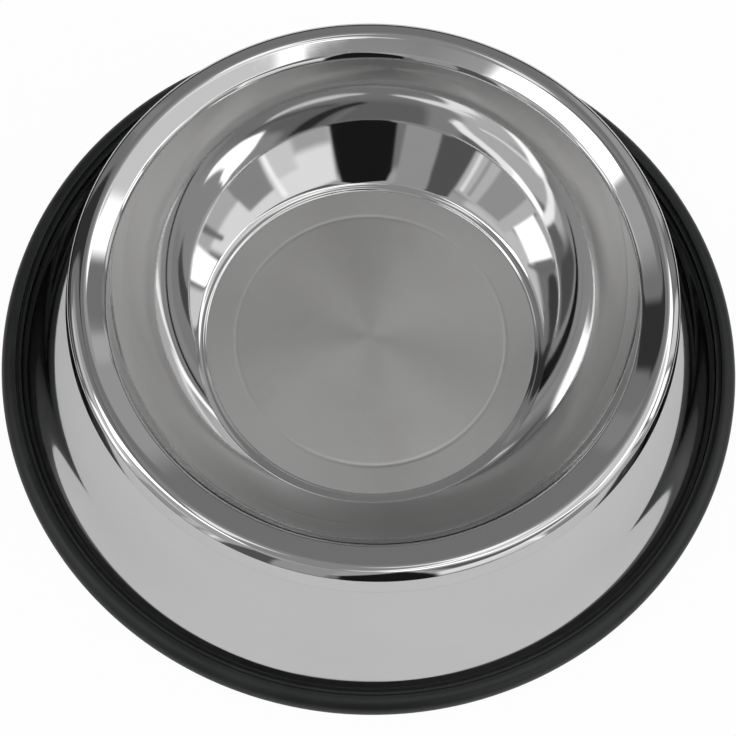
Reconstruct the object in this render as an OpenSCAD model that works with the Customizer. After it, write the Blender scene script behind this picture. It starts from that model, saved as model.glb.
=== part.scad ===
// Stainless feeding bowl: a drawn basin rolled over a conical skirt that stands in a rubber ring.
// Every piece is turned about the vertical axis. The floor under the bowl is at height zero.

/* [Basin] */
// Radius of the circle through the middle of the rolled rim
rim_line_r = 91.2; // [60:0.1:130]
// Height of the middle of the rolled rim above the floor
rim_line_z = 51.9; // [35:0.1:90]
// Outer radius of the roll in cross-section
rim_roll_r = 5.5; // [3:0.1:9]
// Direction from the middle of the roll to the sharp bend at its outer edge
edge_angle = 46; // [30:1:70]
// Inside radius of that sharp bend
edge_inner_r = 0.3; // [0.1:0.05:1]
// Thickness of the basin sheet
basin_t = 0.7; // [0.4:0.05:1.5]
// Slope of the band that leads from the roll towards the wall
lead_slope = 27; // [10:1:45]
// Width of that band along its slope
lead_w = 4.5; // [1:0.1:10]
// Radius of the bend that leads from the band into the wall
flare_r = 3; // [2:0.1:15]
// Slope at the top of the hollow wall, 90 would be upright
wall_angle = 76; // [60:1:86]
// Slope at the foot of the wall, where it runs into the tight corner
wall_foot_angle = 38; // [20:1:50]
// Slope at the foot of the tight corner
corner_end_angle = 5; // [0:1:15]
// Radius of the tight corner between wall and floor
corner_r = 4.6; // [2:0.1:15]
// Height of the foot of the tight corner
corner_foot_z = 13.9; // [6:0.1:30]
// Bend radius of the small step down to the satin floor
step_r = 1.3; // [1:0.05:3]
// Steepest slope in that step
step_angle = 35; // [15:1:60]
// Slope of the outer part of the satin floor
annulus_angle = 2.5; // [0.5:0.5:8]
// Width of the sloping part of the satin floor, outside the pressed ring
annulus_w = 9.6; // [3:0.1:20]
// Length of the rim edge turned down over the skirt
turn_down_h = 6.3; // [3:0.1:12]
// Lean of that edge from upright
turn_down_angle = 7; // [0:1:20]

/* [Skirt] */
// Thickness of the skirt sheet
skirt_t = 0.6; // [0.4:0.05:1.5]
// Lean of the skirt cone from upright
cone_angle = 22.5; // [10:0.5:35]
// Lean of the skirt where it meets the ring
foot_angle = 43; // [30:1:70]
// Radius of the long bend from the cone into the flared foot
foot_bend_r = 53.9; // [20:0.1:110]
// Height at which the skirt disappears into the ring
foot_z = 5; // [3:0.1:12]
// Bend radius from the skirt into its flat edge
flange_bend_r = 2; // [1:0.1:5]
// Length of the flat edge held in the ring
flange_w = 1.9; // [1:0.1:5]

/* [Ring] */
// Radius of the round bead in cross-section
ring_bead_r = 4; // [3:0.1:8]
// Direction from the middle of the bead to where it leaves the lip
bead_start_angle = 106; // [92:1:130]
// Width of the flat underside, inwards from the middle of the bead
ring_sole_w = 7.5; // [4:0.1:20]
// Distance from the mouth of the ring to the start of the bead
ring_lip_w = 1.7; // [1:0.1:4]
// Height of the thin lip over the skirt edge
ring_lip_h = 1.05; // [0.6:0.05:3]
// Radius of the thin raised line on the lip
ring_line_r = 0.35; // [0.2:0.05:1]
// Depth of the anti-slip groove in the underside
tread_h = 0.8; // [0.3:0.1:2]
// Width of the anti-slip groove in the underside
tread_w = 1.6; // [0.8:0.1:4]

/* [Smoothness] */
// Steps in each of the large bends of a cross-section
bend_steps = 14; // [6:1:24]
// Steps in each of the small bends of a cross-section
small_steps = 4; // [2:1:8]

/* [Fit] */
// Clearance between steel and rubber and between the two sheets
fit_gap = 0.06; // [0.03:0.01:0.3]
// Clearance between the top of the skirt and the inside of the roll
top_gap = 0.5; // [0.3:0.05:1.5]

/* [Hidden] */
$fn = 96;

// Unit vector at an angle
function ray(a) = [cos(a), sin(a)];

// Points on a bend about c, from angle a to angle b, leaving out the first ones
function bend(c, r, a, b, steps, skip) = [for (i = [skip : steps]) c + r * ray(a + (b - a) * i / steps)];

function reversed(points) = [for (i = [len(points) - 1 : -1 : 0]) points[i]];

// Basin centres and joints, from the turned-down edge inwards
rim_c = [rim_line_r, rim_line_z];
edge_r = edge_inner_r + basin_t;
edge_c = rim_c + (rim_roll_r - edge_r) * ray(edge_angle);
edge_top = edge_c + edge_r * ray(turn_down_angle);
edge_bottom = edge_top - turn_down_h * ray(turn_down_angle + 90);
flare_from = lead_slope + 90;
flare_to = wall_angle + 90;
flare_c = rim_c + (rim_roll_r - flare_r) * ray(flare_from) + lead_w * ray(flare_from + 90);
wall_top = flare_c + flare_r * ray(flare_to);
corner_turn = corner_r * (ray(wall_foot_angle - 90) - ray(corner_end_angle - 90));
wall_drop = wall_top[1] - corner_foot_z - corner_turn[1];
wall_bend_r = wall_drop / (cos(wall_foot_angle) - cos(wall_angle));
wall_c = wall_top - wall_bend_r * ray(wall_angle - 90);
corner_foot = wall_c + wall_bend_r * ray(wall_foot_angle - 90) - corner_turn;
corner_c = corner_foot - corner_r * ray(corner_end_angle - 90);
step_top_c = corner_foot - step_r * ray(corner_end_angle + 90);
step_middle = step_top_c + step_r * ray(step_angle + 90);
step_foot_c = step_middle - step_r * ray(step_angle - 90);
satin_edge = step_foot_c + step_r * ray(annulus_angle - 90);
crease_r = satin_edge[0] - annulus_w;
floor_z = satin_edge[1] - annulus_w * tan(annulus_angle);

// Basin sheet at a depth below its seen face
function basin_line(depth) = concat(
    [edge_bottom - depth * ray(turn_down_angle)],
    bend(edge_c, edge_r - depth, turn_down_angle, edge_angle, small_steps, 0),
    bend(rim_c, rim_roll_r - depth, edge_angle, flare_from, bend_steps, 1),
    bend(flare_c, flare_r - depth, flare_from, flare_to, bend_steps, 0),
    bend(wall_c, wall_bend_r + depth, wall_angle - 90, wall_foot_angle - 90, bend_steps, 1),
    bend(corner_c, corner_r + depth, wall_foot_angle - 90, corner_end_angle - 90, bend_steps, 1),
    bend(step_top_c, step_r - depth, corner_end_angle + 90, step_angle + 90, small_steps, 1),
    bend(step_foot_c, step_r + depth, step_angle - 90, annulus_angle - 90, small_steps, 1),
    [[crease_r, floor_z - depth], [0, floor_z - depth]]
);

// Skirt centres and joints, from its top edge inside the roll down to its flat edge in the ring
skirt_seam = edge_bottom - (basin_t + fit_gap) * ray(turn_down_angle);
foot_turn = foot_bend_r * (ray(cone_angle) - ray(foot_angle));
cone_drop = skirt_seam[1] - foot_z + foot_turn[1];
foot = [skirt_seam[0] + cone_drop * tan(cone_angle) + foot_turn[0], foot_z];
foot_c = foot + foot_bend_r * ray(foot_angle);
skirt_top_z = rim_line_z + rim_roll_r - basin_t - top_gap;
skirt_top = skirt_seam + (skirt_top_z - skirt_seam[1]) * [-tan(cone_angle), 1];
flange_c = foot + flange_bend_r * ray(foot_angle);
flange_start = flange_c - [0, flange_bend_r];
flange_end = flange_start + [flange_w, 0];

// Skirt sheet at a depth below its seen face
function skirt_line(depth) = concat(
    [skirt_top - depth * ray(cone_angle)],
    bend(foot_c, foot_bend_r + depth, cone_angle + 180, foot_angle + 180, bend_steps, 0),
    bend(flange_c, flange_bend_r + depth, foot_angle + 180, 270, small_steps, 1),
    [flange_end - [0, depth]]
);

// Ring section, from the mouth where the skirt goes in
bead_start_r = foot[0] + ring_lip_w;
bead_c = [bead_start_r - ring_bead_r * cos(bead_start_angle), ring_bead_r];
ring_inner_r = bead_c[0] - ring_sole_w;
mouth = foot + [fit_gap, 2 * fit_gap];
line_c = foot + [ring_lip_w / 2, ring_lip_h];
slot_end_r = flange_end[0] + fit_gap;
slot_top_z = flange_end[1] + fit_gap;
slot_bottom_z = flange_end[1] - skirt_t - fit_gap;
tread_r = (ring_inner_r + bead_c[0]) / 2;
tread_near = tread_r - tread_w / 2;
tread_far = tread_r + tread_w / 2;

// Drawn basin with its satin floor, polished wall and rolled rim turned down over the skirt
module inner_bowl() {
    color("#c9cacb") rotate_extrude() polygon(concat(basin_line(0), reversed(basin_line(basin_t))));
}

// Spun cone with a flared foot and a flat edge held in the ring
module outer_skirt() {
    color("#c4c5c6") rotate_extrude() polygon(concat(skirt_line(0), reversed(skirt_line(skirt_t))));
}

// Moulded ring: slot for the skirt edge, lip with a raised line, round bead, groove in the underside
module rubber_ring() {
    slot = [
        [slot_end_r, slot_bottom_z],
        [slot_end_r, slot_top_z],
        [flange_start[0] + fit_gap, slot_top_z],
        mouth
    ];
    lip = concat([[mouth[0], line_c[1]]], bend(line_c, ring_line_r, 180, 0, small_steps, 0));
    bead = concat([[bead_start_r, line_c[1]]], bend(bead_c, ring_bead_r, bead_start_angle, -90, bend_steps, 0));
    tread = [[tread_far, 0], [tread_far, tread_h], [tread_near, tread_h], [tread_near, 0]];
    inside = [[ring_inner_r, 0], [ring_inner_r, slot_bottom_z]];
    color("#141414") rotate_extrude() polygon(concat(slot, lip, bead, tread, inside));
}

inner_bowl();
outer_skirt();
rubber_ring();
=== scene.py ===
"""Looks of a stainless feeding bowl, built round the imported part.

Every piece is turned about the vertical axis. Cross-sections are drawn in
millimetres as lines and bends, and turned into meshes in metres.
"""

import logging
import math
from dataclasses import dataclass, field
from enum import Enum

import bpy
import numpy as np
from mathutils import Matrix, Vector


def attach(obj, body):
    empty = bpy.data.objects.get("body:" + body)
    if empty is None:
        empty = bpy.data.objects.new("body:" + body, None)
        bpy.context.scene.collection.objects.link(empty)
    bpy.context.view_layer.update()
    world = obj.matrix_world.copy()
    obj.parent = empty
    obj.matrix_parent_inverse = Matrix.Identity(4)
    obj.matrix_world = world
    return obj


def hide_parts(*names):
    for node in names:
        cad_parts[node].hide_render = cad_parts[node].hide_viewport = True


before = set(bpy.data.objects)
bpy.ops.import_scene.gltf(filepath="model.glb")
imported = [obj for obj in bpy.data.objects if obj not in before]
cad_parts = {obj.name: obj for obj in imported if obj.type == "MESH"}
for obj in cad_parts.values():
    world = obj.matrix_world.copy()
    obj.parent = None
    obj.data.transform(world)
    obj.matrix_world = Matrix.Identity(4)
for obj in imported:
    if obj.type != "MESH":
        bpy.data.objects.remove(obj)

Socket = bpy.types.NodeSocket
Colour = tuple[float, float, float]
LOG = logging.getLogger("feeding_bowl")
MM = 0.001
TURN_STEPS = 288
SAME_PLACE = 1e-5
ON_AXIS = 1e-6


def ray(angle: float) -> np.ndarray:
    """Unit vector at an angle in degrees, in the plane of a cross-section."""
    return np.array([math.cos(math.radians(angle)), math.sin(math.radians(angle))])


class Zone(Enum):
    """Which material slot of a piece a run of its outline takes."""

    MAIN = 0
    SECOND = 1


@dataclass
class Run:
    """One smooth run of an outline: its points and the normals there."""

    points: np.ndarray
    normals: np.ndarray
    zone: Zone


@dataclass
class Outline:
    """A cross-section drawn anticlockwise, with the material on its left."""

    runs: list[Run] = field(default_factory=list)

    def line(self, start: np.ndarray, end: np.ndarray, steps: int = 1, zone: Zone = Zone.MAIN) -> None:
        """Adds a straight run.

        Args:
            start: first point, radius and height in millimetres.
            end: last point.
            steps: number of faces along it.
            zone: material slot.
        """
        start, end = np.asarray(start, float), np.asarray(end, float)
        share = np.linspace(0, 1, steps + 1)[:, None]
        along = (end - start) / np.linalg.norm(end - start)
        normals = np.tile([along[1], -along[0]], (steps + 1, 1))
        self.runs.append(Run(start + (end - start) * share, normals, zone))

    def bend(
        self,
        centre: np.ndarray,
        radius: float,
        first: float,
        last: float,
        steps: int,
        zone: Zone = Zone.MAIN,
    ) -> None:
        """Adds part of a circle.

        Args:
            centre: its centre.
            radius: its radius.
            first: angle of the first point in degrees.
            last: angle of the last point.
            steps: number of faces along it.
            zone: material slot.
        """
        angles = np.radians(np.linspace(first, last, steps + 1))
        rays = np.stack([np.cos(angles), np.sin(angles)], 1)
        side = 1.0 if last > first else -1.0
        self.runs.append(Run(np.asarray(centre) + radius * rays, rays * side, zone))

    def line_on(self, end: np.ndarray, steps: int = 1, zone: Zone = Zone.MAIN) -> None:
        """Adds a straight run from where the outline ends so far."""
        self.line(self.runs[-1].points[-1], end, steps, zone)

    def backwards(self) -> "Outline":
        """The same outline drawn the other way, as for the hidden face of a sheet."""
        return Outline([Run(r.points[::-1], -r.normals[::-1], r.zone) for r in reversed(self.runs)])


def turned(name: str, outline: Outline, materials: list[bpy.types.Material]) -> bpy.types.Object:
    """Turns an outline about the vertical axis into a smooth mesh with exact normals.

    Args:
        name: name of the new object.
        outline: the cross-section.
        materials: one material for each zone.

    Returns:
        The new object, in metres.
    """
    angles = np.linspace(0, 2 * math.pi, TURN_STEPS, endpoint=False)
    round_about = np.stack([np.cos(angles), np.sin(angles)], 1)
    steps = np.arange(TURN_STEPS)
    following = (steps + 1) % TURN_STEPS
    vertices: list[np.ndarray] = []
    faces: list[list[int]] = []
    normals: list[np.ndarray] = []
    zones: list[int] = []
    rings: list[tuple[np.ndarray, np.ndarray]] = []
    total = 0

    def ring_of(point: np.ndarray) -> np.ndarray:
        """Finds the ring of vertices through a point, or makes it when it is new.

        Args:
            point: its radius and height in millimetres.

        Returns:
            The indices of its vertices.
        """
        nonlocal total
        for known, indices in rings[-1:] + rings[:1]:
            if np.linalg.norm(known - point) < SAME_PLACE:
                return indices
        count = 1 if point[0] < ON_AXIS else TURN_STEPS
        indices = np.arange(total, total + count)
        places = np.zeros((count, 3))
        if count > 1:
            places[:, :2] = round_about * point[0]
        places[:, 2] = point[1]
        vertices.append(places * MM)
        total += count
        rings.append((point, indices))
        return indices

    def spread(normal: np.ndarray, at: np.ndarray) -> np.ndarray:
        """A section's normal turned to each of some steps round the axis."""
        return np.column_stack([round_about[at] * normal[0], np.full(len(at), normal[1])])

    for run in outline.runs:
        before = ring_of(run.points[0])
        for i in range(1, len(run.points)):
            after = ring_of(run.points[i])
            first, last = run.normals[i - 1], run.normals[i]
            first_here, first_next = spread(first, steps), spread(first, following)
            last_here, last_next = spread(last, steps), spread(last, following)
            if len(before) > 1 and len(after) > 1:
                sides = [before[steps], before[following], after[following], after[steps]]
                corners = [first_here, first_next, last_next, last_here]
            elif len(after) == 1:
                sides = [before[steps], before[following], np.full(TURN_STEPS, after[0])]
                corners = [first_here, first_next, last_here]
            else:
                sides = [np.full(TURN_STEPS, before[0]), after[following], after[steps]]
                corners = [first_here, last_next, last_here]
            faces.extend(np.stack(sides, 1).tolist())
            normals.append(np.stack(corners, 1).reshape(-1, 3))
            zones.extend([run.zone.value] * TURN_STEPS)
            before = after
    mesh = bpy.data.meshes.new(name)
    mesh.from_pydata(np.vstack(vertices).tolist(), [], faces)
    mesh.polygons.foreach_set("use_smooth", np.ones(len(faces), bool))
    mesh.polygons.foreach_set("material_index", np.array(zones, np.int32))
    for material in materials:
        mesh.materials.append(material)
    mesh.normals_split_custom_set(np.vstack(normals).tolist())
    mesh.update()
    piece = bpy.data.objects.new(name, mesh)
    bpy.context.scene.collection.objects.link(piece)
    LOG.info("%s: %d vertices, %d faces", name, len(mesh.vertices), len(mesh.polygons))
    return piece


@dataclass
class Basin:
    """The drawn basin: rolled rim, flare, wall, corner, step and satin floor, in mm and degrees."""

    rim_line_r: float = 91.2
    rim_line_z: float = 51.9
    rim_roll_r: float = 5.5
    edge_angle: float = 46.0
    edge_inner_r: float = 0.3
    sheet: float = 0.7
    lead_slope: float = 27.0
    lead_w: float = 4.5
    flare_r: float = 3.0
    wall_angle: float = 76.0
    wall_foot_angle: float = 38.0
    corner_end_angle: float = 5.0
    corner_r: float = 4.6
    corner_foot_z: float = 13.9
    step_r: float = 1.3
    step_angle: float = 35.0
    annulus_angle: float = 2.5
    annulus_w: float = 9.6
    turn_down_h: float = 6.2
    turn_down_angle: float = 12.0
    press_r: float = 1.1
    press_h: float = 0.06

    def __post_init__(self) -> None:
        """Works out the centres and joints of the bends, as the part's source does."""
        self.rim_c = np.array([self.rim_line_r, self.rim_line_z])
        self.edge_r = self.edge_inner_r + self.sheet
        self.edge_c = self.rim_c + (self.rim_roll_r - self.edge_r) * ray(self.edge_angle)
        edge_top = self.edge_c + self.edge_r * ray(self.turn_down_angle)
        self.edge_bottom = edge_top - self.turn_down_h * ray(self.turn_down_angle + 90)
        self.flare_from = self.lead_slope + 90
        self.flare_to = self.wall_angle + 90
        lead = self.lead_w * ray(self.flare_from + 90)
        self.flare_c = self.rim_c + (self.rim_roll_r - self.flare_r) * ray(self.flare_from) + lead
        wall_top = self.flare_c + self.flare_r * ray(self.flare_to)
        turn = self.corner_r * (ray(self.wall_foot_angle - 90) - ray(self.corner_end_angle - 90))
        drop = wall_top[1] - self.corner_foot_z - turn[1]
        self.wall_bend_r = drop / (ray(self.wall_foot_angle)[0] - ray(self.wall_angle)[0])
        self.wall_c = wall_top - self.wall_bend_r * ray(self.wall_angle - 90)
        corner_foot = self.wall_c + self.wall_bend_r * ray(self.wall_foot_angle - 90) - turn
        self.corner_c = corner_foot - self.corner_r * ray(self.corner_end_angle - 90)
        self.step_top_c = corner_foot - self.step_r * ray(self.corner_end_angle + 90)
        middle = self.step_top_c + self.step_r * ray(self.step_angle + 90)
        self.step_foot_c = middle - self.step_r * ray(self.step_angle - 90)
        self.satin_edge = self.step_foot_c + self.step_r * ray(self.annulus_angle - 90)
        self.crease_r = self.satin_edge[0] - self.annulus_w
        self.floor_z = self.satin_edge[1] - self.annulus_w * math.tan(math.radians(self.annulus_angle))

    def face(self, depth: float, fine: int) -> Outline:
        """Draws the sheet at a depth below its seen face, from the turned-down edge to the axis.

        Args:
            depth: how far below the seen face, in millimetres.
            fine: how finely the bends are divided, 1 for a hidden face.

        Returns:
            The open outline.
        """
        out = Outline()
        lower = self.edge_bottom - depth * ray(self.turn_down_angle)
        upper = self.edge_c + (self.edge_r - depth) * ray(self.turn_down_angle)
        out.line(lower, upper, 2)
        out.bend(self.edge_c, self.edge_r - depth, self.turn_down_angle, self.edge_angle, 5 * fine)
        out.bend(self.rim_c, self.rim_roll_r - depth, self.edge_angle, self.flare_from, 12 * fine)
        flare_top = self.flare_c + (self.flare_r - depth) * ray(self.flare_from)
        out.line_on(flare_top, 2 * fine)
        out.bend(self.flare_c, self.flare_r - depth, self.flare_from, self.flare_to, 12 * fine)
        wall_from, wall_to = self.wall_angle - 90, self.wall_foot_angle - 90
        out.bend(self.wall_c, self.wall_bend_r + depth, wall_from, wall_to, 20 * fine)
        out.bend(self.corner_c, self.corner_r + depth, wall_to, self.corner_end_angle - 90, 10 * fine)
        out.bend(
            self.step_top_c, self.step_r - depth, self.corner_end_angle + 90, self.step_angle + 90, 4 * fine
        )
        out.bend(
            self.step_foot_c, self.step_r + depth, self.step_angle - 90, self.annulus_angle - 90, 4 * fine
        )
        self._floor(out, depth, fine)
        return out

    def _floor(self, out: Outline, depth: float, fine: int) -> None:
        """Adds the satin floor with its pressed ring.

        Args:
            out: the outline, which ends at the satin edge so far.
            depth: how far below the seen face, in millimetres.
            fine: how finely the bends are divided.
        """
        slope = math.radians(self.annulus_angle)
        level = self.floor_z - depth
        press_out = [self.crease_r + self.press_r, level + self.press_r * math.tan(slope)]
        out.line_on(press_out, 2 * fine, Zone.SECOND)
        across = 1 - 2 * np.linspace(0, 1, 5 * fine + 1)
        radii = self.crease_r + self.press_r * across
        down = self.press_h * 0.5 * (1 + np.cos(math.pi * across))
        lift = np.clip(radii - self.crease_r, 0, None) * math.tan(slope)
        heights = level + lift - down
        points = np.stack([radii, heights], 1)
        along = np.gradient(points, axis=0)
        normals = np.stack([along[:, 1], -along[:, 0]], 1)
        normals /= np.linalg.norm(normals, axis=1)[:, None]
        normals[0] = [-math.sin(slope), math.cos(slope)]
        normals[-1] = [0, 1]
        out.runs.append(Run(points, normals, Zone.SECOND))
        out.line_on([0, level], 6 * fine, Zone.SECOND)

    def build(self, polished: bpy.types.Material, satin: bpy.types.Material) -> bpy.types.Object:
        """Builds the basin.

        Args:
            polished: finish of everything but its floor.
            satin: finish of its floor.

        Returns:
            The piece.
        """
        seen = self.face(0.0, 3)
        hidden = self.face(self.sheet, 1).backwards()
        for run in hidden.runs:
            run.zone = Zone.MAIN
        edge = Outline()
        inner = hidden.runs[-1].points[-1]
        edge.bend(
            (inner + seen.runs[0].points[0]) / 2,
            self.sheet / 2,
            self.turn_down_angle + 180,
            self.turn_down_angle + 360,
            8,
        )
        return turned("bowl_basin", Outline(hidden.runs + edge.runs + seen.runs), [polished, satin])


@dataclass
class Skirt:
    """The spun cone with its flared foot and flat edge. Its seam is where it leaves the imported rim."""

    roof_z: float
    seam_r: float = 95.33
    seam_z: float = 48.91
    top_gap: float = 0.5
    sheet: float = 0.6
    cone_angle: float = 22.5
    foot_angle: float = 43.0
    foot_bend_r: float = 53.9
    foot_z: float = 5.0
    flange_bend_r: float = 2.0
    flange_w: float = 1.9

    def __post_init__(self) -> None:
        """Works out the centres and joints of the bends."""
        turn = self.foot_bend_r * (ray(self.cone_angle) - ray(self.foot_angle))
        drop = self.seam_z - self.foot_z + turn[1]
        lean = math.tan(math.radians(self.cone_angle))
        self.foot = np.array([self.seam_r + drop * lean + turn[0], self.foot_z])
        self.foot_c = self.foot + self.foot_bend_r * ray(self.foot_angle)
        rise = self.roof_z - self.top_gap - self.seam_z
        self.top = np.array([self.seam_r - rise * lean, self.seam_z + rise])
        self.flange_c = self.foot + self.flange_bend_r * ray(self.foot_angle)
        self.flange_end = self.flange_c + np.array([self.flange_w, -self.flange_bend_r])

    def face(self, depth: float, fine: int) -> Outline:
        """Draws the sheet at a depth below its seen face, from the flat edge up to the top.

        Args:
            depth: how far below the seen face, in millimetres.
            fine: how finely the bends are divided, 1 for a hidden face.

        Returns:
            The open outline.
        """
        out = Outline()
        low = self.flange_end - np.array([0.0, depth])
        out.line(low, low - np.array([self.flange_w, 0.0]), 1)
        out.bend(self.flange_c, self.flange_bend_r + depth, 270, self.foot_angle + 180, 5)
        out.bend(
            self.foot_c, self.foot_bend_r + depth, self.foot_angle + 180, self.cone_angle + 180, 10 * fine
        )
        out.line_on(self.top - depth * ray(self.cone_angle), 4 * fine)
        return out

    def build(self, polished: bpy.types.Material) -> bpy.types.Object:
        """Builds the skirt.

        Args:
            polished: its finish.

        Returns:
            The piece.
        """
        seen = self.face(0.0, 3)
        hidden = self.face(self.sheet, 1).backwards()
        top = Outline()
        top.line(seen.runs[-1].points[-1], hidden.runs[0].points[0])
        whole = Outline(seen.runs + top.runs + hidden.runs)
        whole.line_on(whole.runs[0].points[0])
        return turned("bowl_skirt", whole, [polished])


@dataclass
class Ring:
    """The moulded ring: slot for the skirt's edge, lip with a raised line, round bead, groove below."""

    foot: np.ndarray
    flange_end: np.ndarray
    flange_w: float
    skirt_sheet: float
    bead_r: float = 4.0
    bead_start_angle: float = 106.0
    sole_w: float = 7.5
    lip_w: float = 1.7
    lip_h: float = 1.05
    line_r: float = 0.35
    tread_h: float = 0.8
    tread_w: float = 1.6
    fit_gap: float = 0.06
    inner_soft: float = 0.25
    groove_soft: float = 0.15
    mouth_soft: float = 0.2

    def outline(self) -> Outline:
        """Draws the ring's cross-section.

        Returns:
            The closed outline.
        """
        start_r = self.foot[0] + self.lip_w
        bead_c = np.array([start_r - self.bead_r * ray(self.bead_start_angle)[0], self.bead_r])
        inner_r = bead_c[0] - self.sole_w
        line_c = self.foot + np.array([self.lip_w / 2, self.lip_h])
        slot_end = self.flange_end[0] + self.fit_gap
        slot_top = self.flange_end[1] + self.fit_gap
        slot_low = self.flange_end[1] - self.skirt_sheet - self.fit_gap
        mouth = self.foot + np.array([self.fit_gap, 2 * self.fit_gap])
        tread_r = (inner_r + bead_c[0]) / 2
        near, far = tread_r - self.tread_w / 2, tread_r + self.tread_w / 2
        soft, groove, turned_in = self.inner_soft, self.groove_soft, self.mouth_soft
        lip_z = line_c[1]
        out = Outline()
        out.line([inner_r + soft, 0], [near, 0], 2)
        out.line_on([near, self.tread_h])
        out.line_on([far, self.tread_h])
        out.line_on([far, 0])
        out.line_on([bead_c[0], 0], 2)
        out.bend(bead_c, self.bead_r, -90, self.bead_start_angle, 48)
        bead_end_r = out.runs[-1].points[-1][0]
        out.line_on([bead_end_r, lip_z + groove])
        out.bend([bead_end_r - groove, lip_z + groove], groove, 0, -90, 4)
        out.line_on([line_c[0] + self.line_r, lip_z])
        out.bend(line_c, self.line_r, 0, 180, 10)
        out.line_on([mouth[0] + turned_in, lip_z])
        out.bend([mouth[0] + turned_in, lip_z - turned_in], turned_in, 90, 180, 4)
        out.line_on(mouth)
        out.line_on([self.flange_end[0] - self.flange_w + self.fit_gap, slot_top])
        out.line_on([slot_end, slot_top])
        out.line_on([slot_end, slot_low])
        out.line_on([inner_r + soft, slot_low], 2)
        out.bend([inner_r + soft, slot_low - soft], soft, 90, 180, 4)
        out.line_on([inner_r, soft])
        out.bend([inner_r + soft, soft], soft, 180, 270, 4)
        return out

    def build(self, rubber: bpy.types.Material) -> bpy.types.Object:
        """Builds the ring in its finish."""
        return turned("bowl_ring", self.outline(), [rubber])


@dataclass
class Viewpoint:
    """Where the object is seen from: a point high above its front, in metres, and its turns in radians."""

    centre: tuple[float, float, float] = (0.0, -0.22294, 0.53590)
    yaw: float = -0.0005
    pitch: float = 0.0092
    roll: float = -0.0731
    lens: float = 83.15
    sensor_w: float = 36.0

    def build(self) -> None:
        """Makes the camera and sets it as the scene's."""
        centre = np.array(self.centre)
        back = centre / np.linalg.norm(centre)
        right = np.array([1.0, 0.0, 0.0])
        base = np.array([right, np.cross(back, right), back])
        cy, sy = math.cos(self.yaw), math.sin(self.yaw)
        cp, sp = math.cos(self.pitch), math.sin(self.pitch)
        cr, sr = math.cos(self.roll), math.sin(self.roll)
        about_y = np.array([[cy, 0, sy], [0, 1, 0], [-sy, 0, cy]])
        about_x = np.array([[1, 0, 0], [0, cp, -sp], [0, sp, cp]])
        about_z = np.array([[cr, -sr, 0], [sr, cr, 0], [0, 0, 1]])
        rows = about_z @ about_x @ about_y @ base
        data = bpy.data.cameras.new("viewpoint")
        data.lens, data.sensor_width = self.lens, self.sensor_w
        camera = bpy.data.objects.new("viewpoint", data)
        placed = Matrix(rows.T.tolist()).to_4x4()
        placed.translation = centre.tolist()
        camera.matrix_world = placed
        bpy.context.scene.collection.objects.link(camera)
        bpy.context.scene.camera = camera


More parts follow.
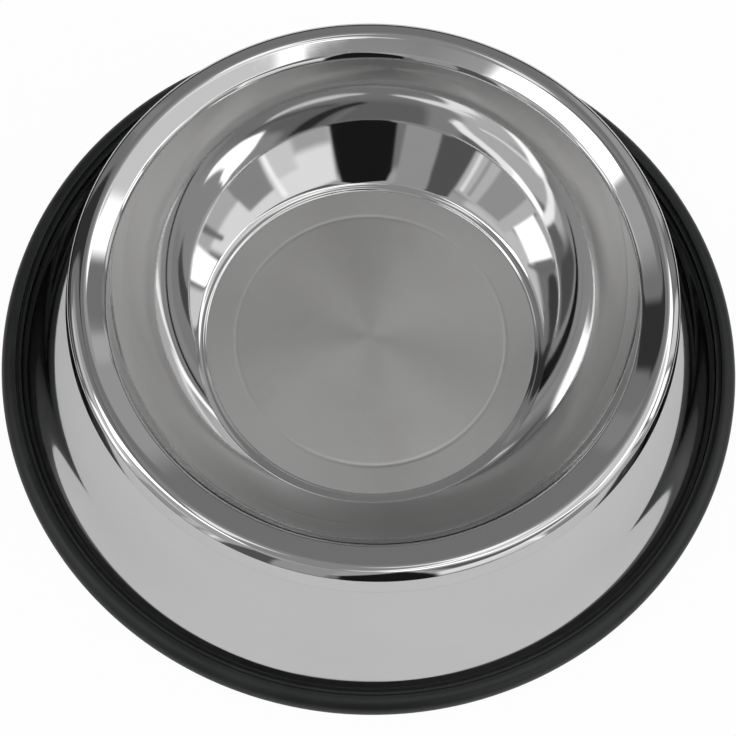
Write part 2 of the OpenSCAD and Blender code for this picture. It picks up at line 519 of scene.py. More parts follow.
class Graph:
    """Adds and links the nodes of one tree."""

    def __init__(self, tree: bpy.types.NodeTree) -> None:
        """Keeps the tree."""
        self.tree = tree

    def add(self, kind: str, inputs: dict | None = None, **settings: object) -> bpy.types.Node:
        """Adds a node.

        Args:
            kind: its type without the leading ShaderNode.
            inputs: values or sockets for its inputs, by name or number.
            settings: its own properties.

        Returns:
            The node.
        """
        node = self.tree.nodes.new("ShaderNode" + kind)
        for name, value in settings.items():
            setattr(node, name, value)
        for key, value in (inputs or {}).items():
            if isinstance(value, Socket):
                self.link(value, node.inputs[key])
            else:
                node.inputs[key].default_value = value
        return node

    def link(self, output: Socket, target: Socket) -> None:
        """Links an output to an input."""
        self.tree.links.new(output, target)

    def math(self, operation: str, *values: object) -> Socket:
        """Adds a Math node and returns its output."""
        return self.add("Math", dict(enumerate(values)), operation=operation).outputs[0]

    def vector(self, operation: str, *values: object) -> Socket:
        """Adds a Vector Math node and returns its vector."""
        return self.add("VectorMath", dict(enumerate(values)), operation=operation).outputs[0]

    def scaled(self, vector: Socket, size: object) -> Socket:
        """Multiplies a vector by a value."""
        return self.add("VectorMath", {0: vector, "Scale": size}, operation="SCALE").outputs[0]

    def split(self, vector: Socket) -> list[Socket]:
        """Splits a vector into its three parts."""
        return list(self.add("SeparateXYZ", {0: vector}).outputs)

    def channel(self, colour: Socket, number: int) -> Socket:
        """Returns one channel of a colour, 0 for red."""
        return self.add("SeparateColor", {0: colour}).outputs[number]

    def noise(self, place: Socket, scale: float, detail: float, rough: float) -> Socket:
        """Adds a Noise Texture and returns its value."""
        inputs = {"Vector": place, "Scale": scale, "Detail": detail, "Roughness": rough}
        return self.add("TexNoise", inputs).outputs[0]

    def drift(self, place: Socket, scale: float, detail: float) -> Socket:
        """Adds a Noise Texture and returns its colour, for shifting places about."""
        return self.add("TexNoise", {"Vector": place, "Scale": scale, "Detail": detail}).outputs[1]

    def cells(self, place: Socket, scale: float) -> tuple[Socket, Socket]:
        """Adds a Voronoi Texture and returns the distance to the nearest point and that cell's colour."""
        node = self.add("TexVoronoi", {"Vector": place, "Scale": scale}, feature="F1")
        return node.outputs["Distance"], node.outputs["Color"]

    def ramp(
        self, value: Socket, low: float, high: float, to_low: float = 0.0, to_high: float = 1.0
    ) -> Socket:
        """Maps a value smoothly from one range to another."""
        inputs = {"Value": value, 1: low, 2: high, 3: to_low, 4: to_high}
        return self.add("MapRange", inputs, interpolation_type="SMOOTHSTEP").outputs[0]

    def mix(self, share: Socket, first: object, second: object) -> Socket:
        """Mixes two colours."""
        return self.add("Mix", {0: share, 6: first, 7: second}, data_type="RGBA").outputs[2]

    def tinted(self, colour: Colour, *layers: tuple[Socket, float, Colour]) -> Socket:
        """Lays colours over a first one.

        Args:
            colour: the first colour.
            layers: for each one, where it lies, its share there and its colour.

        Returns:
            The colour that results.
        """
        tone = (*colour, 1)
        for where, share, laid in layers:
            tone = self.mix(self.math("MULTIPLY", where, share), tone, (*laid, 1))
        return tone

    def summed(self, base: float, *parts: tuple[Socket, float]) -> Socket:
        """Adds sockets to a base value.

        Args:
            base: the value to start from.
            parts: each socket with its weight.

        Returns:
            The sum.
        """
        total = base
        for part, weight in parts:
            total = self.math("MULTIPLY_ADD", part, weight, total)
        return total

    def bump(
        self, height: Socket, strength: float, depth: float, over: Socket | None = None, sunk: bool = False
    ) -> Socket:
        """Adds a relief.

        Args:
            height: its height as a share of the depth.
            strength: how strongly it shows.
            depth: its depth in metres.
            over: normal of the relief that it lies on.
            sunk: whether it is cut in.

        Returns:
            The normal that results.
        """
        inputs = {"Strength": strength, "Distance": depth, "Height": height}
        if over is not None:
            inputs["Normal"] = over
        return self.add("Bump", inputs, invert=sunk).outputs[0]


def effect(
    name: str, inputs: dict[str, float | None], outputs: list[str]
) -> tuple[Graph, bpy.types.Node, bpy.types.Node]:
    """Starts a node group for an effect.

    Args:
        name: name of the group.
        inputs: its inputs with their default values, None for a vector.
        outputs: names of its value outputs.

    Returns:
        The graph inside, its input node and its output node.
    """
    tree = bpy.data.node_groups.new(name, "ShaderNodeTree")
    for key, value in inputs.items():
        kind = "NodeSocketVector" if value is None else "NodeSocketFloat"
        socket = tree.interface.new_socket(name=key, in_out="INPUT", socket_type=kind)
        if value is not None:
            socket.default_value = value
    for key in outputs:
        tree.interface.new_socket(name=key, in_out="OUTPUT", socket_type="NodeSocketFloat")
    start, end = tree.nodes.new("NodeGroupInput"), tree.nodes.new("NodeGroupOutput")
    return Graph(tree), start, end


class Effects:
    """The surface effects that the finishes share, each built once as a node group."""

    def __init__(self) -> None:
        """Builds the groups."""
        self.turning = self._turning()
        self.scratches = self._scratches()
        self.smudges = self._smudges()
        self.dust = self._dust()

    def lines_on(self, graph: Graph, place: Socket, per_metre: float, breaks: float) -> list[Socket]:
        """Puts turning lines on a finish and returns the fine lines and the broad bands."""
        inputs = {"Place": place, "Lines per metre": per_metre, "Breaks": breaks}
        return list(graph.add("Group", inputs, node_tree=self.turning).outputs)

    def scratches_on(self, graph: Graph, place: Socket, density: float) -> Socket:
        """Puts hairline scratches on a finish."""
        inputs = {"Place": place, "Density": density}
        return graph.add("Group", inputs, node_tree=self.scratches).outputs[0]

    def marks_on(self, graph: Graph, place: Socket, size: float) -> Socket:
        """Puts wiping marks on a finish."""
        inputs = {"Place": place, "Size": size}
        return graph.add("Group", inputs, node_tree=self.smudges).outputs[0]

    def dust_on(self, graph: Graph, place: Socket, amount: float) -> list[Socket]:
        """Puts dust on a finish and returns its specks and its thin film."""
        inputs = {"Place": place, "Amount": amount}
        return list(graph.add("Group", inputs, node_tree=self.dust).outputs)

    def _turning(self) -> bpy.types.NodeTree:
        """Fine lines that run round the axis, as left by a polishing wheel or a lathe.

        Returns:
            The node group.
        """
        defaults = {"Place": None, "Lines per metre": 2500.0, "Breaks": 3.0}
        steep_share = 0.31
        broad_shares = (0.035, 0.3, 0.035)
        detail, line_rough, band_rough = 3.0, 0.6, 0.55
        graph, start, end = effect("turning_lines", defaults, ["Lines", "Bands"])
        per_metre, breaks = start.outputs["Lines per metre"], start.outputs["Breaks"]
        x, y, z = graph.split(start.outputs["Place"])
        square = graph.math("ADD", graph.math("MULTIPLY", x, x), graph.math("MULTIPLY", y, y))
        radius = graph.math("SQRT", square)
        across = graph.math("MULTIPLY", graph.math("ADD", radius, z), per_metre)
        steep_lines = graph.math("MULTIPLY", per_metre, steep_share)
        steep = graph.math("MULTIPLY", graph.math("SUBTRACT", radius, z), steep_lines)
        flat = graph.vector("NORMALIZE", graph.add("CombineXYZ", {0: x, 1: y}).outputs[0])
        side, front, _ = graph.split(flat)
        broken = graph.math("ADD", across, graph.math("MULTIPLY", side, breaks))
        parts = {0: broken, 1: graph.math("MULTIPLY", front, breaks), 2: steep}
        lay = graph.add("CombineXYZ", parts).outputs[0]
        graph.link(graph.noise(lay, 1.0, detail, line_rough), end.inputs["Lines"])
        broad = graph.vector("MULTIPLY", lay, broad_shares)
        graph.link(graph.noise(broad, 1.0, detail, band_rough), end.inputs["Bands"])
        return graph.tree

    def _scratches(self) -> bpy.types.NodeTree:
        """Short hairline scratches in two directions, here and there.

        Returns:
            The node group.
        """
        turns_and_seeds = ((0.5, 1.7), (2.1, 5.3))
        cells_per_metre = (1400.0, 45.0, 300.0)
        bend_scale, bend_share = 14.0, 0.02
        line_range, rare_range = (0.02, 0.16), (0.93, 0.97)
        graph, start, end = effect("hair_scratches", {"Place": None, "Density": 1.0}, ["Scratches"])
        found = None
        for turn, seed in turns_and_seeds:
            inputs = {"Vector": start.outputs["Place"], "Angle": turn}
            place = graph.add("VectorRotate", inputs, rotation_type="Z_AXIS").outputs[0]
            pull = graph.scaled(graph.drift(place, bend_scale, 1.0), bend_share)
            long_cells = graph.vector("MULTIPLY", graph.vector("ADD", place, pull), cells_per_metre)
            shifted = graph.vector("ADD", long_cells, (seed, seed * 3, seed * 7))
            distance, colour = graph.cells(shifted, 1.0)
            line = graph.ramp(distance, *line_range, 1.0, 0.0)
            rare = graph.ramp(graph.channel(colour, 0), *rare_range)
            share = graph.math("MULTIPLY", line, rare)
            found = share if found is None else graph.math("MAXIMUM", found, share)
        graph.link(graph.math("MULTIPLY", found, start.outputs["Density"]), end.inputs["Scratches"])
        return graph.tree

    def _smudges(self) -> bpy.types.NodeTree:
        """Soft wiping marks left by a cloth.

        Returns:
            The node group.
        """
        pull_scale, pull_detail = 0.7, 2.0
        mark_detail, mark_rough, mark_range = 4.0, 0.55, (0.42, 0.72)
        graph, start, end = effect("wipe_marks", {"Place": None, "Size": 30.0}, ["Marks"])
        place = graph.scaled(start.outputs["Place"], start.outputs["Size"])
        pulled = graph.vector("ADD", place, graph.drift(place, pull_scale, pull_detail))
        soft = graph.noise(pulled, 1.0, mark_detail, mark_rough)
        graph.link(graph.ramp(soft, *mark_range), end.inputs["Marks"])
        return graph.tree

    def _dust(self) -> bpy.types.NodeTree:
        """Specks of dust, thicker where the surface faces up.

        Returns:
            The node group.
        """
        specks_per_metre, spot_range, rare_range = 900.0, (0.05, 0.2), (0.93, 0.99)
        film_scale, film_detail, film_rough, film_range = 60.0, 5.0, 0.65, (0.4, 0.75)
        upward_range = (0.1, 0.9)
        graph, start, end = effect("dust_specks", {"Place": None, "Amount": 0.5}, ["Specks", "Film"])
        place = start.outputs["Place"]
        distance, colour = graph.cells(place, specks_per_metre)
        spot = graph.ramp(distance, *spot_range, 1.0, 0.0)
        rare = graph.ramp(graph.channel(colour, 1), *rare_range)
        upward = graph.split(graph.add("NewGeometry").outputs["Normal"])[2]
        amount = graph.math("MULTIPLY", start.outputs["Amount"], graph.ramp(upward, *upward_range))
        specks = graph.math("MULTIPLY", graph.math("MULTIPLY", spot, rare), amount)
        graph.link(specks, end.inputs["Specks"])
        film = graph.ramp(graph.noise(place, film_scale, film_detail, film_rough), *film_range)
        graph.link(graph.math("MULTIPLY", film, amount), end.inputs["Film"])
        return graph.tree


def fresh(name: str) -> tuple[bpy.types.Material, Graph, bpy.types.Node, Socket]:
    """Starts a material with its shader.

    Args:
        name: name of the material.

    Returns:
        The material, its graph, its shader and the place on the object.
    """
    material = bpy.data.materials.new(name)
    material.use_nodes = True
    graph = Graph(material.node_tree)
    shader = material.node_tree.nodes["Principled BSDF"]
    return material, graph, shader, graph.add("TexCoord").outputs["Object"]


def bare(name: str) -> tuple[bpy.types.Material, Graph]:
    """Starts a material without any node, for the floor and the dome.

    Args:
        name: name of the material.

    Returns:
        The material and its graph.
    """
    material = bpy.data.materials.new(name)
    material.use_nodes = True
    material.node_tree.nodes.clear()
    return material, Graph(material.node_tree)


def staged(
    name: str, places: np.ndarray, faces: list[list[int]], material: bpy.types.Material
) -> bpy.types.Object:
    """Makes a mesh that belongs to the studio and not to the bowl.

    Args:
        name: name of the object.
        places: its vertices in metres.
        faces: the vertices of each face.
        material: its material.

    Returns:
        The object.
    """
    mesh = bpy.data.meshes.new(name)
    mesh.from_pydata(places.tolist(), [], faces)
    mesh.materials.append(material)
    made = bpy.data.objects.new(name, mesh)
    bpy.context.scene.collection.objects.link(made)
    return made


@dataclass(frozen=True)
class PolishedSteel:
    """Mirror-polished stainless sheet with faint wheel lines, wiping marks and hairline scratches."""

    colour: Colour = (0.70, 0.70, 0.70)
    dull: Colour = (0.66, 0.66, 0.655)
    speck: Colour = (0.55, 0.54, 0.52)
    lines_per_metre: float = 1800.0
    line_breaks: float = 4.0
    mark_size: float = 26.0
    scratch_density: float = 1.0
    dust_amount: float = 0.35
    mark_share: float = 0.35
    speck_share: float = 0.5
    rough: float = 0.022
    band_rough: float = 0.022
    mark_rough: float = 0.03
    scratch_rough: float = 0.12
    speck_rough: float = 0.3
    wave_scale: float = 34.0
    wave_rough: float = 0.4
    wave_depth: float = 0.000018
    line_depth: float = 0.0000004
    scratch_depth: float = 0.000004
    scratch_strength: float = 0.25

    def material(self, effects: Effects) -> bpy.types.Material:
        """Builds the finish.

        Args:
            effects: the surface effects that it shares.

        Returns:
            The material.
        """
        material, graph, shader, place = fresh("polished_steel")
        lines, bands = effects.lines_on(graph, place, self.lines_per_metre, self.line_breaks)
        marks = effects.marks_on(graph, place, self.mark_size)
        scratches = effects.scratches_on(graph, place, self.scratch_density)
        specks, _ = effects.dust_on(graph, place, self.dust_amount)
        layers = ((marks, self.mark_share, self.dull), (specks, self.speck_share, self.speck))
        graph.link(graph.tinted(self.colour, *layers), shader.inputs["Base Color"])
        shader.inputs["Metallic"].default_value = 1.0
        rough = graph.summed(
            self.rough,
            (bands, self.band_rough),
            (marks, self.mark_rough),
            (scratches, self.scratch_rough),
            (specks, self.speck_rough),
        )
        graph.link(rough, shader.inputs["Roughness"])
        waves = graph.noise(place, self.wave_scale, 1.0, self.wave_rough)
        slow = graph.bump(waves, 1.0, self.wave_depth)
        wheel = graph.bump(lines, 1.0, self.line_depth, slow)
        cut = graph.bump(scratches, self.scratch_strength, self.scratch_depth, wheel, sunk=True)
        graph.link(cut, shader.inputs["Normal"])
        return material


@dataclass(frozen=True)
class SatinSteel:
    """Stainless sheet with a fine turned grain, which spreads each light into a soft fan."""

    colour: Colour = (0.65, 0.645, 0.64)
    worn: Colour = (0.58, 0.57, 0.565)
    band: Colour = (0.64, 0.635, 0.63)
    speck: Colour = (0.68, 0.68, 0.66)
    lines_per_metre: float = 3200.0
    line_breaks: float = 2.0
    mark_size: float = 22.0
    scratch_density: float = 0.5
    dust_amount: float = 0.5
    mark_share: float = 0.6
    band_range: tuple[float, float] = (0.3, 0.8)
    band_share: float = 0.2
    speck_share: float = 0.4
    rough: float = 0.42
    line_rough: float = 0.06
    mark_rough: float = 0.05
    anisotropic: float = 0.68
    relief: float = 0.4
    line_depth: float = 0.000006
    scratch_depth: float = 0.00001

    def material(self, effects: Effects) -> bpy.types.Material:
        """Builds the finish.

        Args:
            effects: the surface effects that it shares.

        Returns:
            The material.
        """
        material, graph, shader, place = fresh("satin_steel")
        lines, bands = effects.lines_on(graph, place, self.lines_per_metre, self.line_breaks)
        marks = effects.marks_on(graph, place, self.mark_size)
        scratches = effects.scratches_on(graph, place, self.scratch_density)
        specks, _ = effects.dust_on(graph, place, self.dust_amount)
        layers = (
            (marks, self.mark_share, self.worn),
            (graph.ramp(bands, *self.band_range), self.band_share, self.band),
            (specks, self.speck_share, self.speck),
        )
        graph.link(graph.tinted(self.colour, *layers), shader.inputs["Base Color"])
        shader.inputs["Metallic"].default_value = 1.0
        shader.inputs["Anisotropic"].default_value = self.anisotropic
        around = graph.add("Tangent", direction_type="RADIAL", axis="Z").outputs[0]
        graph.link(around, shader.inputs["Tangent"])
        rough = graph.summed(self.rough, (lines, self.line_rough), (marks, self.mark_rough))
        graph.link(rough, shader.inputs["Roughness"])
        grain = graph.bump(lines, self.relief, self.line_depth)
        cut = graph.bump(scratches, self.relief, self.scratch_depth, grain, sunk=True)
        graph.link(cut, shader.inputs["Normal"])
        return material


@dataclass(frozen=True)
class MouldedRubber:
    """Black moulded rubber with a soft gloss, fine grain and a little dust."""

    colour: Colour = (0.008, 0.009, 0.009)
    bloom: Colour = (0.02, 0.023, 0.022)
    speck: Colour = (0.2, 0.2, 0.19)
    lines_per_metre: float = 900.0
    line_breaks: float = 6.0
    mark_size: float = 40.0
    dust_amount: float = 0.8
    mark_share: float = 0.5
    film_share: float = 0.25
    speck_share: float = 0.35
    rough: float = 0.33
    mark_rough: float = 0.12
    band_rough: float = 0.1
    grain_scale: float = 2600.0
    grain_detail: float = 2.0
    grain_rough: float = 0.6
    grain_strength: float = 0.35
    grain_depth: float = 0.00002
    line_strength: float = 0.4
    line_depth: float = 0.00003

    def material(self, effects: Effects) -> bpy.types.Material:
        """Builds the finish.

        Args:
            effects: the surface effects that it shares.

        Returns:
            The material.
        """
        material, graph, shader, place = fresh("black_rubber")
        lines, bands = effects.lines_on(graph, place, self.lines_per_metre, self.line_breaks)
        marks = effects.marks_on(graph, place, self.mark_size)
        specks, film = effects.dust_on(graph, place, self.dust_amount)
        layers = (
            (marks, self.mark_share, self.bloom),
            (film, self.film_share, self.bloom),
            (specks, self.speck_share, self.speck),
        )
        graph.link(graph.tinted(self.colour, *layers), shader.inputs["Base Color"])
        rough = graph.summed(self.rough, (marks, self.mark_rough), (bands, self.band_rough))
        graph.link(rough, shader.inputs["Roughness"])
        grain = graph.noise(place, self.grain_scale, self.grain_detail, self.grain_rough)
        fine = graph.bump(grain, self.grain_strength, self.grain_depth)
        flow = graph.bump(lines, self.line_strength, self.line_depth, fine)
        graph.link(flow, shader.inputs["Normal"])
        return material


def direction(azimuth: float, height: float) -> np.ndarray:
    """Works out where a place on the dome lies.

    Args:
        azimuth: 0 in front and 90 on the right, in degrees.
        height: how far above the horizon, in degrees.

    Returns:
        The unit vector towards it.
    """
    level = math.cos(math.radians(height))
    turn = math.radians(azimuth)
    return np.array([math.sin(turn) * level, -math.cos(turn) * level, math.sin(math.radians(height))])


def softened(inside: np.ndarray, edge: float) -> np.ndarray:
    """Turns how far inside a light a direction is into a share from 0 to 1, across its soft edge."""
    share = np.clip(inside / edge + 0.5, 0, 1)
    return share * share * (3 - 2 * share)


@dataclass(frozen=True)
class Panel:
    """A soft light or dark card, which shows inside all of its edges, each carried on past its corners."""

    level: float
    edge: float
    corners: tuple[tuple[float, float], ...]

    def share(self, seen: np.ndarray) -> np.ndarray:
        """Works out how much of it shows in each direction.

        Args:
            seen: the directions, as unit vectors in rows.

        Returns:
            A share from 0 to 1 for each of them.
        """
        points = np.array([direction(*corner) for corner in self.corners])
        middle = points.mean(0)
        inside = np.full(len(seen), 180.0)
        for start, end in zip(points, np.roll(points, -1, 0)):
            side = np.cross(start, end)
            side *= np.sign(side @ middle) / np.linalg.norm(side)
            inside = np.minimum(inside, np.degrees(np.arcsin(np.clip(seen @ side, -1, 1))))
        return softened(inside, self.edge)


@dataclass(frozen=True)
class Strip:
    """A long soft light or dark strip on a bent line: azimuth, height and width at each point."""

    level: float
    edge: float
    path: tuple[tuple[float, float, float], ...]

    def share(self, seen: np.ndarray) -> np.ndarray:
        """Works out how much of it shows in each direction.

        Args:
            seen: the directions, as unit vectors in rows.

        Returns:
            A share from 0 to 1 for each of them.
        """
        inside = np.full(len(seen), -180.0)
        for (*first, first_w), (*last, last_w) in zip(self.path, self.path[1:]):
            start, end = direction(*first), direction(*last)
            along = end - start
            place = np.clip((seen - start) @ along / (along @ along), 0, 1)
            near = start + place[:, None] * along
            near /= np.linalg.norm(near, axis=1)[:, None]
            gap = np.degrees(np.arccos(np.clip((seen * near).sum(1), -1, 1)))
            inside = np.maximum(inside, (first_w + (last_w - first_w) * place) / 2 - gap)
        return softened(inside, self.edge)


# Each has its level and soft edge, then azimuths and heights in degrees. Later ones cover earlier ones.
CEILING_LIGHTS = (
    Strip(0.45, 6, ((-100, 44, 24), (-60, 50, 34), (-15, 52, 34), (22, 54, 30))),
    Strip(0.78, 4, ((62, 62, 18), (92, 60, 28), (122, 57, 22))),
    Strip(0.82, 3, ((8, 76, 6), (50, 76, 9), (90, 76, 9), (118, 73, 6))),
    Strip(0.40, 5, ((148, -5, 20), (147, 40, 16), (140, 66, 10), (110, 83, 4))),
    Strip(1.35, 2, ((96, 78, 3), (115, 78.5, 7), (138, 79, 6), (165, 81, 3))),
    Strip(1.10, 2, ((-140, 81, 3), (-118, 79.5, 6), (-98, 78, 6), (-75, 75, 4))),
    Strip(1.50, 1.5, ((18, 79.5, 2), (40, 81, 4), (62, 81, 4), (104, 80, 2))),
    Strip(2.20, 1.5, ((16, 73, 2), (26, 73, 4), (44, 70.5, 4), (60, 68, 2))),
    Strip(1.35, 1.5, ((58, 68, 2), (82, 68.5, 2.5), (110, 67.5, 1.5))),
    Strip(0.14, 3, ((-140, 67, 3), (-110, 69, 3), (-70, 70, 2))),
)
RIGHT_LIGHTS = (
    Strip(2.20, 2, ((76, 42, 6), (90, 42, 9), (106, 43, 9))),
    Strip(1.60, 3, ((106, 43, 9), (120, 47, 8), (130, 51, 8), (134, 57, 6), (132, 62, 3))),
    Strip(1.70, 1.5, ((44, 68, 3), (56, 62, 3), (64, 54.5, 4), (70, 47, 4), (73, 42, 4))),
    Panel(0.13, 3, ((24, 62), (34, 62), (46, 54), (51, 46), (45, 42), (28, 44))),
    Strip(1.10, 3, ((17, 62, 3), (16, 54, 5))),
    Strip(0.80, 3, ((109, 0, 14), (111, 30, 12))),
    Strip(0.28, 2, ((123, 0, 6), (124, 28, 6), (128, 36, 4))),
    Strip(0.50, 2, ((133, 0, 6), (134, 30, 5), (141, 38, 4))),
    Panel(0.95, 3, ((51, 20), (88, 20), (88, 37), (51, 40))),
    Panel(0.55, 3, ((66, -5), (90, -5), (90, 22), (66, 22))),
    Panel(0.32, 1.5, ((50, -5), (67, -5), (66, 31), (51, 31))),
    Panel(1.60, 1.5, ((89, 14), (101, 14), (103, 34), (91, 30))),
    Strip(0.20, 1.5, ((83, 12, 3), (82, 26, 2))),
)
FRONT_LIGHTS = (
    Panel(1.00, 2, ((21, -5), (50, -5), (52, 41), (23, 41))),
    Panel(0.48, 6, ((21, -5), (39, -5), (38, 20), (21, 20))),
    Panel(0.80, 3, ((38, -5), (50, -5), (50, 28), (38, 28))),
    Strip(1.30, 1.2, ((49, 0, 1.5), (49, 37, 2))),
    Panel(0.38, 1.5, ((-21, -5), (-8, -5), (-4, 66), (-24, 62))),
    Panel(0.11, 1.5, ((-36, -5), (-21, -5), (-24, 58), (-33, 58))),
    Panel(0.012, 1.2, ((-9, -5), (22, -5), (20, 67), (-4, 67), (-4, 38), (-9, 20))),
)
LEFT_LIGHTS = (
    Strip(2.40, 2, ((-80, 45, 4), (-85, 53, 15), (-84, 59, 13), (-66, 64.5, 7), (-45, 66, 3))),
    Strip(0.70, 3, ((-100, 32, 14), (-80, 33, 14), (-62, 36, 12), (-46, 39, 5))),
    Panel(0.60, 2, ((-68, -5), (-35, -5), (-35, 36), (-66, 34))),
    Panel(0.38, 1.5, ((-62, -5), (-47, -5), (-47, 35), (-60, 33))),
    Strip(1.00, 1, ((-38, 0, 1.5), (-38, 34, 1.5))),
    Strip(0.40, 1, ((-42, 0, 1.5), (-42, 34, 1.5))),
    Panel(0.50, 2, ((-92, -5), (-68, -5), (-68, 15), (-92, 15))),
    Panel(1.60, 1.5, ((-84, 15), (-67, 15), (-66, 28), (-82, 28))),
    Strip(0.20, 2, ((-87, 8, 3), (-87, 22, 3), (-83, 29, 1))),
    Strip(0.06, 2, ((-116, 0, 16), (-110, 14, 12), (-100, 18, 7), (-92, 18, 5))),
    Strip(0.04, 2, ((-116, 0, 10), (-120, 16, 14), (-126, 32, 12), (-135, 47, 10), (-160, 65, 4))),
    Strip(0.28, 2, ((-142, 12, 6), (-148, 38, 5), (-158, 56, 3))),
)


@dataclass(frozen=True)
class PaleFloor:
    """Pale table top, near white to the camera and a little lifted where the steel mirrors it."""

    colour: Colour = (0.8, 0.8, 0.8)
    patch: Colour = (0.74, 0.74, 0.73)
    patch_scale: float = 8.0
    patch_detail: float = 4.0
    patch_rough: float = 0.6
    patch_range: tuple[float, float] = (0.3, 0.7)
    patch_share: float = 0.04
    white_share: float = 0.97
    mirrored_share: float = 0.15

    def material(self) -> bpy.types.Material:
        """Builds the finish.

        Returns:
            The material.
        """
        material, graph = bare("pale_floor")
        place = graph.add("TexCoord").outputs["Object"]
        cloudy = graph.noise(place, self.patch_scale, self.patch_detail, self.patch_rough)
        patches = graph.ramp(cloudy, *self.patch_range)
        tone = graph.tinted(self.colour, (patches, self.patch_share, self.patch))
        cloth = graph.add("BsdfDiffuse", {"Color": tone})
        white = graph.add("Emission", {"Color": (1, 1, 1, 1), "Strength": 1.0})
        path = graph.add("LightPath").outputs
        mirrored = graph.math("MAXIMUM", path["Is Glossy Ray"], path["Is Transmission Ray"])
        seen = graph.math("MULTIPLY", path["Is Camera Ray"], self.white_share)
        seen = graph.math("MULTIPLY_ADD", mirrored, self.mirrored_share, seen)
        whole = graph.add("MixShader", {0: seen, 1: cloth.outputs[0], 2: white.outputs[0]})
        graph.add("OutputMaterial", {"Surface": whole.outputs[0]})
        return material


@dataclass(frozen=True)
class Lamp:
    """A square soft lamp that faces the bowl and isn't mirrored in it, in metres and watts."""

    name: str
    place: tuple[float, float, float]
    power: float
    side: float = 1.2

    def build(self) -> None:
        """Makes the lamp."""
        data = bpy.data.lights.new(self.name, "AREA")
        data.size, data.energy = self.side, self.power
        lamp = bpy.data.objects.new(self.name, data)
        lamp.location = self.place
        lamp.rotation_mode = "QUATERNION"
        lamp.rotation_quaternion = Vector([-v for v in self.place]).to_track_quat("-Z", "Y")
        lamp.visible_glossy = False
        bpy.context.scene.collection.objects.link(lamp)


LAMPS = (Lamp("lamp_right", (1.1, -0.5, 1.6), 9.0), Lamp("lamp_left", (-1.2, 0.2, 1.5), 5.0))


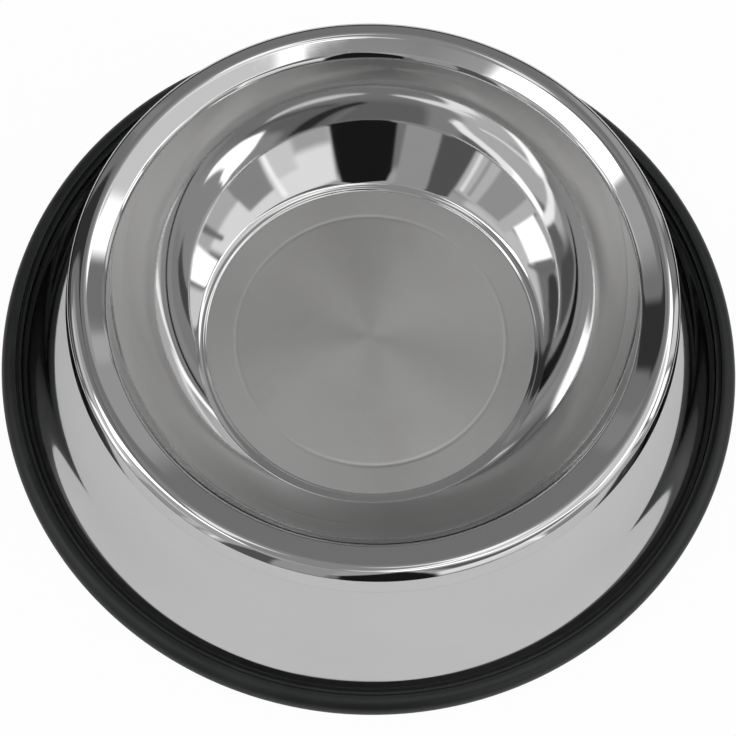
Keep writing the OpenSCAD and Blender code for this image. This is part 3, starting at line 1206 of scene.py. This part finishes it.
@dataclass
class Studio:
    """The pale floor, a dome of soft lights and dark cards, and two large soft lamps."""

    floor_r: float = 0.45
    floor_steps: int = 96
    dome_r: float = 2.5
    dome_lowest: float = -14.0
    dome_step: float = 0.5
    horizon: float = 0.02
    dark_below: float = 6.0
    dark_edge: float = 3.0
    base: float = 0.22
    ceiling: float = 0.32
    ceiling_from: float = 70.0
    ceiling_edge: float = 14.0

    def build(self) -> None:
        """Builds the floor, the world, the dome and the lamps."""
        self._floor()
        self._world()
        self._dome()
        for lamp in LAMPS:
            lamp.build()

    def _levels(self, seen: np.ndarray) -> np.ndarray:
        """Lays the lights over each other in order.

        Args:
            seen: directions, as unit vectors in rows.

        Returns:
            The dome's brightness in each of them.
        """
        heights = np.degrees(np.arcsin(seen[:, 2]))
        level = np.full(len(seen), self.base)
        level += (self.ceiling - level) * softened(heights - self.ceiling_from, self.ceiling_edge)
        for light in CEILING_LIGHTS + RIGHT_LIGHTS + LEFT_LIGHTS + FRONT_LIGHTS:
            level += (light.level - level) * light.share(seen)
        return level + (self.horizon - level) * softened(self.dark_below - heights, self.dark_edge)

    def _dome(self) -> None:
        """Makes the dome as one sheet whose corners carry its brightness."""
        turns = np.arange(0, 360, self.dome_step)
        rises = np.arange(self.dome_lowest, 90, self.dome_step)
        turn, rise = (np.radians(v).ravel() for v in np.meshgrid(turns, rises))
        seen = np.stack([np.sin(turn) * np.cos(rise), -np.cos(turn) * np.cos(rise), np.sin(rise)], 1)
        seen = np.vstack([seen, [0, 0, 1]])
        count = len(turns)
        here = np.arange(count)
        after = (here + 1) % count
        faces: list[list[int]] = []
        for row in range(len(rises) - 1):
            low, high = row * count, (row + 1) * count
            faces.extend(np.stack([low + after, low + here, high + here, high + after], 1).tolist())
        last = (len(rises) - 1) * count
        faces.extend(np.stack([last + after, last + here, np.full(count, len(seen) - 1)], 1).tolist())
        level = self._levels(seen)
        colours = np.stack([level, level, level, np.ones(len(level))], 1)
        dome = staged("light_dome", seen * self.dome_r, faces, self._glow())
        painted = dome.data.color_attributes.new("Light", "FLOAT_COLOR", "POINT")
        painted.data.foreach_set("color", colours.ravel())
        dome.visible_camera = False

    def _glow(self) -> bpy.types.Material:
        """Makes the dome's material, which shines as brightly as its corners say.

        Returns:
            The material.
        """
        material, graph = bare("light_dome")
        light = graph.add("Attribute", attribute_name="Light").outputs["Color"]
        glow = graph.add("Emission", {"Color": light, "Strength": 1.0})
        graph.add("OutputMaterial", {"Surface": glow.outputs[0]})
        material.cycles.emission_sampling = "NONE"
        return material

    def _floor(self) -> None:
        """Makes the floor as a round sheet."""
        angles = np.linspace(0, 2 * math.pi, self.floor_steps, endpoint=False)
        rim = np.stack([np.cos(angles), np.sin(angles), np.zeros(self.floor_steps)], 1)
        staged("floor", rim * self.floor_r, [list(range(self.floor_steps))], PaleFloor().material())

    def _world(self) -> None:
        """Makes the world: white to the camera, and dim below the dome."""
        world = bpy.data.worlds.new("studio")
        bpy.context.scene.world = world
        world.use_nodes = True
        graph = Graph(world.node_tree)
        camera = graph.add("LightPath").outputs["Is Camera Ray"]
        dim = (self.horizon, self.horizon, self.horizon, 1)
        seen = graph.mix(camera, dim, (1, 1, 1, 1))
        graph.link(seen, world.node_tree.nodes["Background"].inputs["Color"])


def dress(piece: bpy.types.Object, node: str) -> None:
    """Puts a piece in the place of a CAD node.

    Args:
        piece: the piece.
        node: the node that it replaces.
    """
    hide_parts(node)
    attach(piece, "root")


def main() -> None:
    """Builds the studio and the pieces."""
    logging.basicConfig(level=logging.INFO, format="%(name)s: %(message)s")
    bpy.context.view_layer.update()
    bpy.context.scene.view_settings.view_transform = "Standard"
    Viewpoint().build()
    Studio().build()
    effects = Effects()
    steel = PolishedSteel().material(effects)
    satin = SatinSteel().material(effects)
    rubber = MouldedRubber().material(effects)
    basin = Basin()
    skirt = Skirt(basin.rim_line_z + basin.rim_roll_r - basin.sheet)
    ring = Ring(skirt.foot, skirt.flange_end, skirt.flange_w, skirt.sheet)
    dress(basin.build(steel, satin), "inner_bowl")
    dress(skirt.build(steel), "outer_skirt")
    dress(ring.build(rubber), "rubber_ring")


if __name__ == "__main__":
    main()
